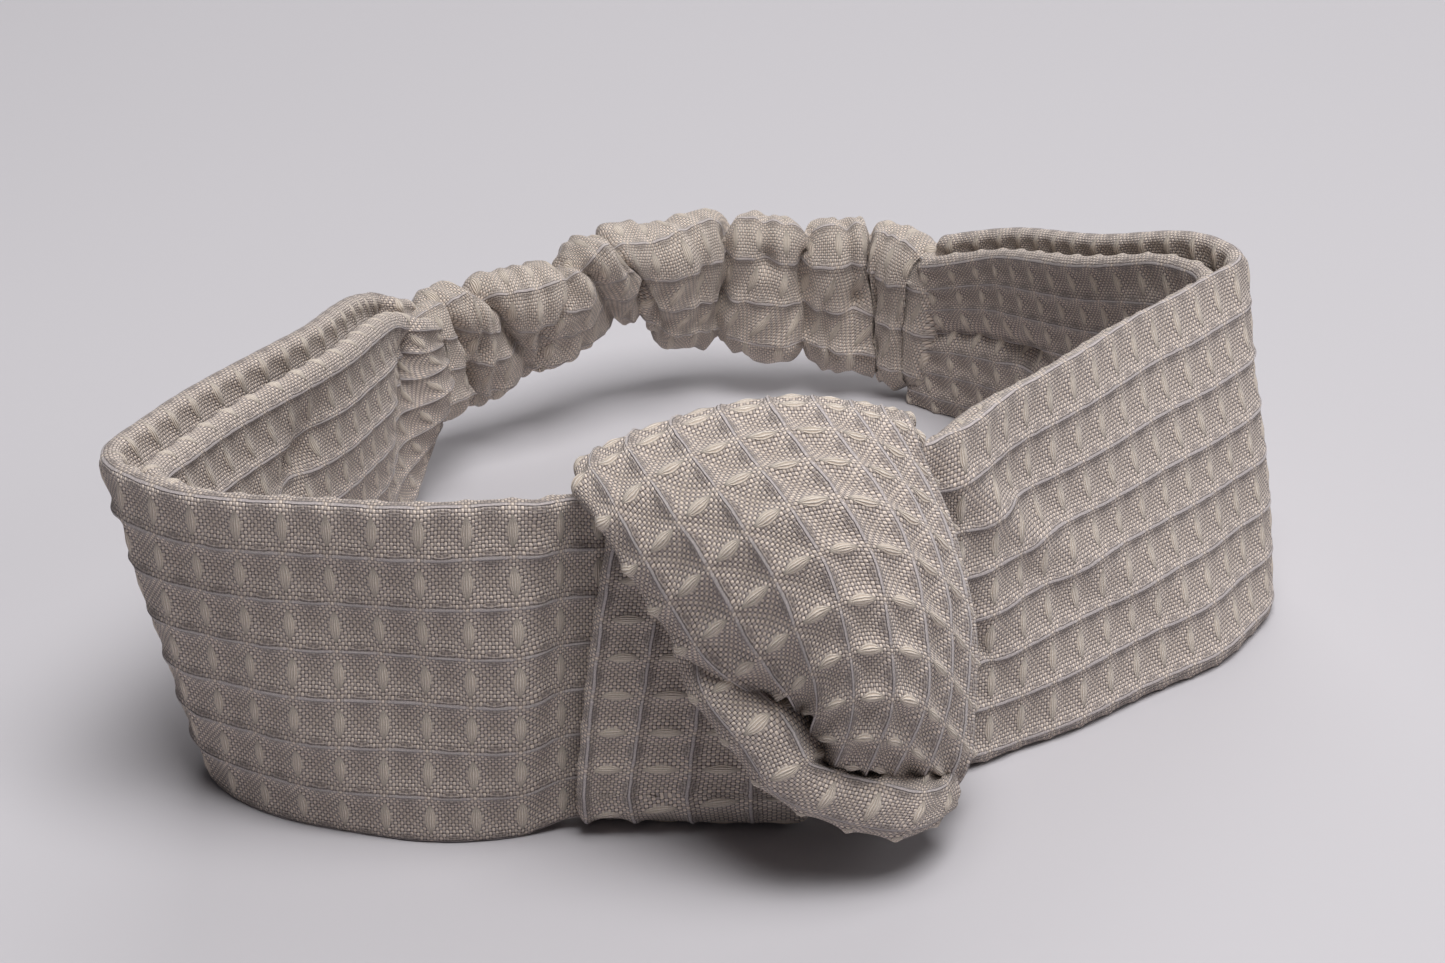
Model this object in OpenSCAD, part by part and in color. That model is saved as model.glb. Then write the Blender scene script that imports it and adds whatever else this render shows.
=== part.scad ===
// Twist-knot fabric headband, lying as it stands on a table: on its long lower edge, knot to the front.
// Two flattened fabric tubes are each folded in two and hooked round each other at the knot. Each one
// gives an outer ply, an inner ply and a knot bend. A ruched casing with a flat elastic joins their ends.
// Frame: millimetres, +Z up, knot towards -Y, origin on the table under the middle of the loop.

/* [Loop] */
// Width of the loop from ear to ear
loop_w = 173; // [150:1:215]
// Depth of the loop from the strip beside the knot to the back of the casing
loop_d = 176; // [150:1:215]

/* [Strips] */
// Height of a strip where it stands at its full width
strip_h = 54; // [44:1:66]
// Thickness of one ply: two layers of waffle cloth pressed flat
ply_t = 3.2; // [2:0.1:4]
// Room between the outer and the inner ply
ply_gap = 1.4; // [1.2:0.1:3]

/* [Knot] */
// Thickness of the cloth that makes each knot bend
bend_t = 3; // [2:0.1:4]
// Room between a bend and the plies that it wraps
bend_clear = 0.6; // [0.4:0.1:1]
// How far the diagonal bend bulges in front of the right strip
lobe_t = 10; // [8:0.5:12]
// Radius of the rolled lip at the diagonal bend's lower end
lip_r = 4.5; // [3:0.5:5]

/* [Casing] */
// Height of the ruched casing where it stands on its edge
casing_h = 34; // [28:1:42]
// Thickness of the casing between its gathers
casing_t = 7; // [6:0.5:10]
// Thickness of the casing's cloth
casing_wall = 1.3; // [0.8:0.1:1.6]
// Depth of the gathers
gather_depth = 1.4; // [0:0.1:2]
// Number of gathers along the casing
gather_count = 11; // [5:1:16]
// Gap of the join between a strip's end and the casing's end
join_gap = 1.6; // [1.2:0.1:3]

/* [Elastic] */
// Width of the flat elastic
elastic_w = 15; // [10:1:16]
// Thickness of the flat elastic
elastic_t = 1.2; // [0.8:0.1:1.6]

/* [Sewing] */
// Diameter of the sewing thread
thread_d = 0.7; // [0.4:0.1:0.8]
// Distance from one stitch to the next
stitch_pitch = 3.5; // [3:0.25:6]

/* [Hidden] */

half_w = loop_w / 2;
half_d = loop_d / 2;
// The knot stands out in front, so the loop sits this far back and left of its guides' own zero,
// which keeps the origin under the middle of the whole outline
centre_x = -1.1;
centre_y = 6.5;
stack_t = 2 * ply_t + ply_gap;
// Lengths of a strip and of the casing, to the nearest few millimetres
strip_run = loop_d * 0.95;
casing_run = loop_d * 0.6;
// The strips are drawn with one station to each stitch, so that the seams lie flat between the plies
stations = round(strip_run / stitch_pitch);
// How much lower the inner ply stands than the outer one
inner_drop = 3;
// How far the shoulders of each kind of section are cut back
ply_corner = ply_t / 6;
bend_corner = bend_t / 2;
casing_corner = casing_wall * 0.8;
// Room between a thread and the elastic
thread_clear = 0.4;
// Share of a stitch's pitch that its thread covers
stitch_share = 0.6;

waffle = [0.78, 0.75, 0.70];
shade = [0.66, 0.63, 0.59];
elastic_white = [0.92, 0.92, 0.90];
thread_grey = [0.60, 0.58, 0.56];

// Guide lines of each strip on its outer face, from inside the knot to the join with the casing.
// Each row: x and y of the lower edge in percent of half_w and half_d, the same for the upper edge,
// and the two heights in percent of strip_h.
LEFT_GUIDE = [
    [ 12, -91,   12, -95,   7,  87],
    [-22, -91,  -22, -96,   7,  90],
    [-34, -94,  -32, -101,  0, 100],
    [-53, -94,  -52, -101,  0, 100],
    [-70, -89,  -75, -98,   0, 100],
    [-82, -81,  -92, -92,   0, 100],
    [-87, -69,  -99, -79,   0, 100],
    [-84, -50,  -94, -60,   0,  98],
    [-79, -23,  -80, -28,   0,  95],
    [-74,   5,  -72,   2,   0,  87],
    [-71,  27,  -70,  27,   6,  74],
    [-65,  43,  -65,  41,  20,  63]
];
RIGHT_GUIDE = [
    [ 22, -79,   21, -81,  14,  85],
    [ 36, -74,   33, -77,  12,  88],
    [ 44, -70,   38, -72,   0,  99],
    [ 58, -60,   50, -54,   0, 100],
    [ 77, -45,   69, -29,   0, 100],
    [ 92, -31,   82, -11,   0, 100],
    [100, -16,   92,   1,   0, 100],
    [100,   4,   93,  13,   0, 100],
    [ 91,  28,   86,  23,   0,  97],
    [ 76,  53,   73,  37,   0,  87],
    [ 60,  75,   60,  60,   0,  76],
    [ 45,  89,   46,  81,   0,  61]
];
// Guide lines of the casing's middle between its two joins, laid out as the strips' are, with the heights
// in percent of casing_h. It is twisted left of its middle, where its lower edge swings back and rises.
CASING_GUIDE = [
    [-56,  57,  -53,  49,  30, 100],
    [-47,  65,  -42,  54,  35,  97],
    [-36,  72,  -32,  61,  46, 100],
    [-22,  82,  -24,  68,  58, 106],
    [-14,  87,  -15,  77,  36, 103],
    [ -2,  90,   -1,  86,  25, 106],
    [ 13,  90,   13,  87,  17, 103],
    [ 26,  90,   26,  88,   9, 103],
    [ 34,  91,   34,  87,   5, 101]
];
// Front of the diagonal bend: rows from its top ridge down to the crease above its lip, columns from its
// left fold to its right edge. Each point is x and y in percent of half_w and half_d, z of strip_h.
LOBE_NET = [
    [[-22,  -88, 104], [-12,  -82, 103], [  0,  -77, 104], [ 12,  -73, 104], [ 23, -72, 100]],
    [[-23, -100, 104], [-14,  -95, 109], [ -2,  -89, 113], [ 11,  -85, 113], [ 23, -82, 107]],
    [[-20, -105, 101], [-10, -104, 106], [  2, -100, 110], [ 15,  -96, 110], [ 28, -89, 103]],
    [[-14, -106,  82], [ -3, -108,  91], [  9, -108,  97], [ 21, -103,  96], [ 33, -92,  87]],
    [[ -6, -105,  63], [  2, -109,  74], [ 12, -110,  79], [ 24, -105,  78], [ 36, -92,  65]],
    [[  1, -103,  53], [  8, -108,  61], [ 15, -110,  64], [ 25, -106,  61], [ 38, -91,  44]],
    [[ 11, -100,  44], [ 14, -104,  45], [ 19, -107,  47], [ 26, -105,  44], [ 38, -89,  26]],
    [[ 14,  -97,  33], [ 17,  -98,  27], [ 21,  -99,  25], [ 27,  -97,  22], [ 36, -87,  12]]
];
// Middle line of the rolled lip, in the same percentages
LIP_PATH = [[-4, -103, 56], [0, -103, 44], [7, -104, 31], [16, -103, 21], [25, -100, 17], [33, -91, 15]];

// Catmull-Rom value between q[1] and q[2]
function blend4(q, t) = 0.5 * ((2 * q[1]) + (q[2] - q[0]) * t
    + (2 * q[0] - 5 * q[1] + 4 * q[2] - q[3]) * t * t
    + (3 * q[1] - q[0] - 3 * q[2] + q[3]) * t * t * t);
// Row of a guide at u, from 0 at its first row to 1 at its last
function row_at(guide, u) =
    let(last = len(guide) - 1, s = min(max(u, 0), 1) * last, i = min(floor(s), last - 1))
    blend4([guide[max(i - 1, 0)], guide[i], guide[i + 1], guide[min(i + 2, last)]], s - i);
function place(x, y, z) = [x / 100 * half_w + centre_x, y / 100 * half_d + centre_y, z];
function flat(v) = [v[0], v[1], 0];
function unit(v) = v / norm(v);
// Outward normal, level, of a line that runs along d on the given side of the loop
function outward(d, side) = unit([d.y, -d.x, 0]) * side;

// A guide's rows in millimetres, where its full height is h: lower point, then upper point
function rows_of(guide, h) = [for (r = guide) concat(place(r[0], r[1], r[4] / 100 * h),
    place(r[2], r[3], r[5] / 100 * h))];
function low_at(rows, u) = let(r = row_at(rows, u)) [r[0], r[1], max(r[2], 0)];
function top_at(rows, u) = let(r = row_at(rows, u)) [r[3], r[4], r[5]];
function mid_at(rows, u) = (low_at(rows, u) + top_at(rows, u)) / 2;
// Level normal of a strip at u, pointing out of the loop
function strip_normal(rows, u, side) = outward(flat(mid_at(rows, u + 0.01) - mid_at(rows, u - 0.01)), side);

// Row of the casing that starts at the end of a strip, clear of it by the join gap
function join_row(rows, side) =
    let(run = unit(flat(mid_at(rows, 1) - mid_at(rows, 0.98))))
    let(shift = run * join_gap - strip_normal(rows, 1, side) * stack_t / 2)
    concat(low_at(rows, 1) + shift, top_at(rows, 1) + shift);

LEFT = rows_of(LEFT_GUIDE, strip_h);
RIGHT = rows_of(RIGHT_GUIDE, strip_h);
CASING = concat([join_row(LEFT, -1)], rows_of(CASING_GUIDE, casing_h), [join_row(RIGHT, 1)]);

// Direction of the casing's height at u, and its level normal out of the loop
function casing_up(u) = unit(top_at(CASING, u) - low_at(CASING, u));
function casing_normal(u) = strip_normal(CASING, u, -1);

// Closed ring of a flattened tube's section between a lower and an upper point: level at its foot, with a
// rounded shoulder at its top. The section is t thick, its middle is moved by shift along the normal n, and
// its shoulder is cut back by corner.
function section(low, top, n, t, shift, corner) =
    let(h = norm(top - low), up = unit(top - low), half = t / 2)
    [for (p = [[0, corner / 2 - half], [0, half - corner / 2], [2 * corner, half], [h - 3 * corner, half],
            [h - corner, half - corner], [h, 0], [h - corner, corner - half], [h - 3 * corner, -half],
            [2 * corner, -half]])
        low + up * p[0] + n * (p[1] + shift)];

// Triangles that join ring a to ring b, each of m points
function band(a, b, m) = [for (k = [0:m - 1], h = [0, 1])
    h == 0 ? [a + k, b + k, b + (k + 1) % m] : [a + k, b + (k + 1) % m, a + (k + 1) % m]];
// Triangles that close a ring by zigzagging from its first half to its second
function cap(a, m) = [for (k = [0:ceil(m / 2) - 2], h = [0, 1])
    if (h == 0 || k + 1 < m - 2 - k)
        h == 0 ? [a + k, a + k + 1, a + m - 1 - k] : [a + k + 1, a + m - 2 - k, a + m - 1 - k]];
function reversed(faces, on) = on ? [for (f = faces) [f[0], f[2], f[1]]] : faces;

// Solid through a list of rings that all have the same number of points
module skin(rings, turned) {
    m = len(rings[0]);
    last = len(rings) - 1;
    faces = concat(
        cap(0, m),
        [for (i = [0:last - 1]) each band(i * m, (i + 1) * m, m)],
        reversed(cap(last * m, m), true)
    );
    polyhedron(points = [for (r = rings) each r], faces = reversed(faces, turned), convexity = 8);
}

// Hollow tube through outer rings and inner rings, open at both ends
module hollow_skin(outer, inner, turned) {
    m = len(outer[0]);
    n = len(outer);
    far = n * m;
    faces = concat(
        [for (i = [0:n - 2]) each band(i * m, (i + 1) * m, m)],
        [for (i = [0:n - 2]) each reversed(band(far + i * m, far + (i + 1) * m, m), true)],
        band(far, 0, m),
        band((n - 1) * m, far + (n - 1) * m, m)
    );
    polyhedron(points = concat([for (r = outer) each r], [for (r = inner) each r]),
        faces = reversed(faces, turned), convexity = 8);
}

// One ply of a strip. Ply 0 is the outer one, ply 1 the inner one, which is a little lower.
module ply(rows, side, ply_no) {
    inset = ply_no * (ply_t + ply_gap) + ply_t / 2;
    drop = ply_no * inner_drop;
    skin([for (i = [0:stations])
        let(u = i / stations, low = low_at(rows, u), top = top_at(rows, u))
        section(low, top - unit(top - low) * drop, strip_normal(rows, u, side), ply_t, -inset, ply_corner)
    ], side > 0);
}

// Row of straight stitches through the points of a path, each a short length of thread
module stitches(path) {
    for (i = [0:len(path) - 2]) {
        run = path[i + 1] - path[i];
        length = norm(run);
        translate(path[i] + run * (1 - stitch_share) / 2)
            rotate([0, acos(run.z / length), atan2(run.y, run.x)])
                cylinder(d = thread_d, h = length * stitch_share, $fn = 16);
    }
}

// Closing seam of a strip's tube: it lies in the gap between the two plies, half way up, clear of the knot
module ply_seam(rows, side) {
    first = round(stations / 5);
    stitches([for (i = [first:stations - 2])
        let(u = i / stations)
        mid_at(rows, u) - strip_normal(rows, u, side) * (ply_t + ply_gap / 2)
    ]);
}

// Sleeve of cloth round both plies of a strip between u0 and u1. Its front wall is bulge thicker, and
// its foot is level with the table when it rests there.
module sleeve(rows, side, u0, u1, bulge, rests) {
    hole_t = stack_t + 2 * bend_clear;
    wall = bend_clear + bend_t;
    steps = 16;
    rings = [for (i = [0:steps])
        let(u = u0 + (u1 - u0) * i / steps, low = low_at(rows, u), top = top_at(rows, u))
        [low, top, unit(top - low), strip_normal(rows, u, side)]
    ];
    hollow_skin(
        [for (r = rings) let(foot = r[0] - r[2] * wall)
            section(rests ? flat(foot) : foot, r[1] + r[2] * wall, r[3], hole_t + 2 * bend_t + bulge,
                (bulge - stack_t) / 2, bend_corner)],
        [for (r = rings)
            section(r[0] - r[2] * bend_clear, r[1] + r[2] * bend_clear, r[3], hole_t, -stack_t / 2,
                ply_corner)],
        side > 0
    );
}

// Point of the diagonal bend's front at u along the strip and v across it
function net_at(net, u, v) = let(p = row_at([for (row = net) row_at(row, v)], u))
    place(p[0], p[1], p[2] / 100 * strip_h);
function net_normal(net, u, v) = unit(cross(net_at(net, u, v + 0.02) - net_at(net, u, v - 0.02),
    net_at(net, u + 0.02, v) - net_at(net, u - 0.02, v)));

// Closed slab of thickness t behind a net of points, as a row of closed sections down the net
module slab(net, t) {
    down = 14;
    across = 10;
    skin([for (i = [0:down])
        let(u = i / down)
        concat(
            [for (j = [0:across]) net_at(net, u, j / across)],
            [for (j = [across:-1:0]) net_at(net, u, j / across) + net_normal(net, u, j / across) * t]
        )
    ], true);
}

// Round roll along a path, closed by its two ends, which have the share ends of its full radius
module roll(path, r) {
    ends = 0.6;
    steps = 12;
    points = [for (i = [0:steps]) let(p = row_at(path, i / steps)) place(p[0], p[1], p[2] / 100 * strip_h)];
    sides = 10;
    skin([for (i = [0:steps])
        let(d = unit(points[min(i + 1, steps)] - points[max(i - 1, 0)]))
        let(a = unit(cross(d, [0, 1, 0])), b = cross(d, a))
        let(swell = ends + (1 - ends) * sin(180 * (i + 1) / (steps + 2)))
        [for (k = [0:sides - 1])
            points[i] + (a * cos(360 * k / sides) + b * sin(360 * k / sides)) * r * swell]
    ], false);
}

// The upright bend belongs to the right strip and wraps the left one. The knot rests on its level foot.
module right_strip_knot_bend() {
    color(shade) sleeve(LEFT, -1, 0, 0.085, 0, true);
}

// The diagonal bend belongs to the left strip and wraps the right one
module left_strip_knot_bend() {
    color(waffle) {
        sleeve(RIGHT, 1, 0, 0.075, lobe_t, false);
        slab(LOBE_NET, bend_t);
        roll(LIP_PATH, lip_r);
    }
}

// Closed ring of the casing at u, drawn in by shrink at its two edges and t thick
function casing_ring(u, shrink, t) =
    section(low_at(CASING, u) + casing_up(u) * shrink, top_at(CASING, u) - casing_up(u) * shrink,
        casing_normal(u), t, 0, casing_corner);
function gather(u) = gather_depth * (1 - cos(360 * gather_count * u)) / 2;
module elastic_casing() {
    steps = 6 * gather_count;
    color(waffle) hollow_skin(
        [for (i = [0:steps]) casing_ring(i / steps, 0, casing_t + gather(i / steps))],
        [for (i = [0:steps]) casing_ring(i / steps, casing_wall, casing_t - 2 * casing_wall)],
        false
    );
}

// Flat elastic along the middle of the casing, short of both of its ends
elastic_from = 0.015;
elastic_to = 0.985;
module flat_elastic() {
    steps = 40;
    color(elastic_white) skin([for (i = [0:steps])
        let(u = elastic_from + (elastic_to - elastic_from) * i / steps)
        let(c = mid_at(CASING, u), up = casing_up(u) * elastic_w / 2, n = casing_normal(u) * elastic_t / 2)
        [c - up - n, c - up + n, c + up + n, c + up - n]
    ], false);
}

// Closing seam of the casing: one row of stitches between the elastic and the cloth on its inner side
module casing_seam_thread() {
    count = round(casing_run / stitch_pitch);
    color(thread_grey) stitches([for (i = [1:count - 1])
        mid_at(CASING, i / count) - casing_normal(i / count) * (elastic_t / 2 + thread_clear + thread_d / 2)
    ]);
}

// Two rows of stitches in the gap between a strip's end and the casing, one to each ply. They run up
// seam_part of the strip's height.
seam_from = 0.08;
seam_part = 0.8;
module join_seam(rows, side) {
    run = unit(flat(mid_at(rows, 1) - mid_at(rows, 0.98)));
    n = strip_normal(rows, 1, side);
    low = low_at(rows, 1);
    top = top_at(rows, 1);
    count = floor(norm(top - low) / stitch_pitch);
    for (row = [0.25, 0.75])
        stitches([for (k = [0:count])
            low + (top - low) * (seam_from + seam_part * k / count) + run * join_gap / 2 - n * stack_t * row
        ]);
}
module left_join_seam_thread() { color(thread_grey) join_seam(LEFT, -1); }
module right_join_seam_thread() { color(thread_grey) join_seam(RIGHT, 1); }

// Zigzag of stitches on the elastic's outer face beside one of its ends, over tack_part of its width
tack_part = 0.7;
module elastic_tack(u0, u1) {
    passes = 7;
    stitches([for (k = [0:passes])
        let(u = u0 + (u1 - u0) * k / passes)
        mid_at(CASING, u) + casing_up(u) * elastic_w * tack_part * (k % 2 == 0 ? 0.5 : -0.5)
            + casing_normal(u) * (elastic_t / 2 + thread_clear + thread_d / 2)
    ]);
}
module left_elastic_tack() { color(thread_grey) elastic_tack(0.025, 0.075); }
module right_elastic_tack() { color(thread_grey) elastic_tack(0.925, 0.975); }

module left_strip_outer_ply() { color(waffle) ply(LEFT, -1, 0); }
module left_strip_inner_ply() { color(waffle) ply(LEFT, -1, 1); }
module right_strip_outer_ply() { color(waffle) ply(RIGHT, 1, 0); }
module right_strip_inner_ply() { color(waffle) ply(RIGHT, 1, 1); }
module left_strip_seam_thread() { color(thread_grey) ply_seam(LEFT, -1); }
module right_strip_seam_thread() { color(thread_grey) ply_seam(RIGHT, 1); }

left_strip_outer_ply();
left_strip_inner_ply();
left_strip_knot_bend();
right_strip_outer_ply();
right_strip_inner_ply();
right_strip_knot_bend();
left_strip_seam_thread();
right_strip_seam_thread();
elastic_casing();
flat_elastic();
casing_seam_thread();
left_join_seam_thread();
right_join_seam_thread();
left_elastic_tack();
right_elastic_tack();
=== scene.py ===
"""Looks of the twist-knot headband: waffle cloth strips, their knot, the ruched elastic back, and the studio.

Every piece is a surface worked out on a grid, in metres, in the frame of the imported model: +Z up, the knot
towards -Y, and the origin on the table under the middle of the loop.
"""

import logging
import math
from dataclasses import dataclass, field, replace
from enum import Enum
from typing import Callable, Sequence

import bmesh
import bpy
import numpy as np
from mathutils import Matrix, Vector


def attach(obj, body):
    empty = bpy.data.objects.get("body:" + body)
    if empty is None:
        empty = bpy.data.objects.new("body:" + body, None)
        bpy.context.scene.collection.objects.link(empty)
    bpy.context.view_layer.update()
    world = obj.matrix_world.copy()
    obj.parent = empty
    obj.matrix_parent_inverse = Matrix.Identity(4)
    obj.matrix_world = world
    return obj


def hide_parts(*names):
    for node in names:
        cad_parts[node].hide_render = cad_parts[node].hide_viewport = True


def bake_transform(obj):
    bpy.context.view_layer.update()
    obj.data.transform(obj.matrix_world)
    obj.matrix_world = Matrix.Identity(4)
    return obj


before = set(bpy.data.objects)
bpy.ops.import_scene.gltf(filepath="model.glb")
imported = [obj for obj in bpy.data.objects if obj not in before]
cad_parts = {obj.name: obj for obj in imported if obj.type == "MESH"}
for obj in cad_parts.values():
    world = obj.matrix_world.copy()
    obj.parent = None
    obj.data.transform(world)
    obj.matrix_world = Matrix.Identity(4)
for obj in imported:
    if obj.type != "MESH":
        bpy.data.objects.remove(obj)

LOG = logging.getLogger("headband")
Array = np.ndarray
CentreSheet = Callable[[Array, Array], Array]
Puff = Callable[[Array, Array], Array]
FRONT = "front_band"
BACK = "back_elastic"


# ---------------------------------------------------------------------------------------------- small maths
def unit(v: Array) -> Array:
    """Vectors divided by their own length.

    Args:
        v: Vectors along the last axis.

    Returns:
        Vectors of length one, in the same layout.
    """
    return v / np.maximum(np.linalg.norm(v, axis=-1, keepdims=True), 1e-12)


def row_at(guide: Array, u: Array) -> Array:
    """Catmull-Rom spline through the rows of a guide.

    Args:
        guide: Rows, first axis along the spline.
        u: Places from 0 at the first row to 1 at the last.

    Returns:
        One row for each place.
    """
    last = len(guide) - 1
    s = np.clip(u, 0, 1) * last
    i = np.minimum(s.astype(int), last - 1)
    q = [guide[np.clip(i + k, 0, last)] for k in (-1, 0, 1, 2)]
    t = (s - i).reshape((-1,) + (1,) * (guide.ndim - 1))
    return 0.5 * (
        2 * q[1]
        + (q[2] - q[0]) * t
        + (2 * q[0] - 5 * q[1] + 4 * q[2] - q[3]) * t**2
        + (3 * q[1] - q[0] - 3 * q[2] + q[3]) * t**3
    )


def smoothstep(x: Array, low: float, high: float) -> Array:
    """A step that rises from 0 at low to 1 at high, level at both ends.

    Args:
        x: Values.
        low: Where the step starts.
        high: Where the step ends.

    Returns:
        Values from 0 to 1.
    """
    t = np.clip((x - low) / (high - low), 0, 1)
    return t * t * (3 - 2 * t)


def stadium(s: Array, tall: Array, radius: Array) -> tuple[Array, Array]:
    """Places on a ring of two straight sides and two half circles, by the length run along it.

    Args:
        s: Share of the ring, from 0 at the foot of its front side, up that side and down the other.
        tall: Half of its whole height.
        radius: Half of its thickness.

    Returns:
        Height and depth of each place from the ring's middle.
    """
    side, bend = 2 * (tall - radius), math.pi * radius
    x = s * 2 * (side + bend)
    part = [x < side, x < side + bend, x < 2 * side + bend]
    top = (x - side) / radius
    foot = (x - 2 * side - bend) / radius
    rise = np.select(
        part,
        [x - side / 2, side / 2 + radius * np.sin(top), side / 2 - (x - side - bend)],
        -side / 2 - radius * np.sin(foot),
    )
    out = np.select(part, [radius + 0 * x, radius * np.cos(top), -radius + 0 * x], -radius * np.cos(foot))
    return rise, out


def ripple(x: Array, y: Array, seed: int, waves: int = 7) -> Array:
    """A soft irregular surface: the mean of seeded sine waves that run in different directions.

    Args:
        x: First coordinate, where 1 is about one ripple.
        y: Second coordinate.
        seed: Chooses the waves.
        waves: How many waves are added.

    Returns:
        Heights of about -1 to 1.
    """
    rng = np.random.default_rng(seed)
    turn = rng.uniform(0, math.pi, waves)
    pace = rng.uniform(0.6, 1.7, waves) * 2 * math.pi
    start = rng.uniform(0, 2 * math.pi, waves)
    total = sum(
        np.sin(pace[k] * (x * math.cos(turn[k]) + y * math.sin(turn[k])) + start[k]) for k in range(waves)
    )
    return total / math.sqrt(waves)


# ---------------------------------------------------------------------------------------------- the cloth
@dataclass(frozen=True)
class Waffle:
    """The waffle weave: square pits between ridges, with long floats on the ridges."""

    cell_along: float = 0.0061
    cell_across: float = 0.0071
    depth: float = 0.0008
    spindle: float = 0.0002
    float_line: float = 0.00018
    step: float = 0.0005

    def relief(self, p: Array, q: Array) -> Array:
        """Height of the cloth over its middle.

        A sharp ridge stands where p or q is whole, falling away as a stretched exponential into a shallow
        pit, which is the larger of two raised cosines. A spindle of warp floats swells on the ridge of
        whole p half way between its nodes, and a thin line of weft on whole q.

        Args:
            p: Place along the cloth in cells.
            q: Place across the cloth in cells.

        Returns:
            Heights in metres.
        """
        dp, hq = np.abs(p - np.round(p)), np.abs(q - np.floor(q) - 0.5)
        dq, hp = np.abs(q - np.round(q)), np.abs(p - np.floor(p) - 0.5)
        ridge = np.maximum(0.75 * np.exp(-((dp / 0.17) ** 1.3)), np.exp(-((dq / 0.14) ** 1.3)))
        bowl = np.maximum(np.cos(2 * math.pi * p), np.cos(2 * math.pi * q))
        spindle = np.exp(-((dp / 0.1) ** 2) - (hq / 0.2) ** 2)
        line = np.exp(-((dq / 0.045) ** 2) - (hp / 0.4) ** 4)
        body = 0.7 * ridge + 0.15 * bowl - 0.35
        return self.depth * body + self.spindle * spindle + self.float_line * line


WAFFLE = Waffle()


@dataclass
class Surface:
    """A grid of points that closes round its second axis, and its place in the cloth at each corner."""

    points: Array
    cells: Array
    closed: bool = False

    def mesh_object(self, name: str) -> bpy.types.Object:
        """The surface as a Blender object with smooth faces, a weave map and its ends welded shut.

        Args:
            name: The piece's name.

        Returns:
            The new object, at the origin.
        """
        n, m, _ = self.points.shape
        rows = n if self.closed else n - 1
        i, j = np.meshgrid(np.arange(rows), np.arange(m), indexing="ij")
        corners = [(i, j), (i + 1, j), (i + 1, j + 1), (i, j + 1)]
        if self.volume() < 0:
            corners.reverse()
        faces = np.stack([(a % n) * m + b % m for a, b in corners], -1).reshape(-1)
        uv = np.stack([self.cells[a, b] for a, b in corners], -2).reshape(-1)
        mesh = bpy.data.meshes.new(name)
        mesh.vertices.add(n * m)
        mesh.vertices.foreach_set("co", self.points.reshape(-1).astype(np.float32))
        mesh.loops.add(len(faces))
        mesh.loops.foreach_set("vertex_index", faces.astype(np.int32))
        mesh.polygons.add(len(faces) // 4)
        mesh.polygons.foreach_set("loop_start", np.arange(0, len(faces), 4, dtype=np.int32))
        mesh.update(calc_edges=True)
        layer = mesh.uv_layers.new(name="weave")
        layer.uv.foreach_set("vector", uv.astype(np.float32))
        mesh.validate()
        if not self.closed:
            weld_ends(mesh, list(range(m)) + list(range((n - 1) * m, n * m)))
        mesh.polygons.foreach_set("use_smooth", np.ones(len(mesh.polygons), bool))
        piece = bpy.data.objects.new(name, mesh)
        bpy.context.scene.collection.objects.link(piece)
        return piece

    def volume(self) -> float:
        """Signed volume inside the grid, which is positive where its faces point outwards."""
        p = self.points if not self.closed else np.concatenate([self.points, self.points[:1]])
        a, b = p[:-1], p[1:]
        c, d = np.roll(b, -1, 1), np.roll(a, -1, 1)
        first = np.einsum("...k,...k", a, np.cross(b, c))
        return float((first + np.einsum("...k,...k", a, np.cross(c, d))).sum() / 6)


def weld_ends(mesh: bpy.types.Mesh, verts: Sequence[int]) -> None:
    """Merges the points of a tube's last rings that lie on each other, which shuts the tube.

    Args:
        mesh: The tube's mesh.
        verts: Its end rings' vertex numbers.
    """
    work = bmesh.new()
    work.from_mesh(mesh)
    work.verts.ensure_lookup_table()
    bmesh.ops.remove_doubles(work, verts=[work.verts[k] for k in verts], dist=2e-6)
    bmesh.ops.dissolve_degenerate(work, edges=work.edges[:], dist=1e-8)
    work.to_mesh(mesh)
    work.free()


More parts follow.
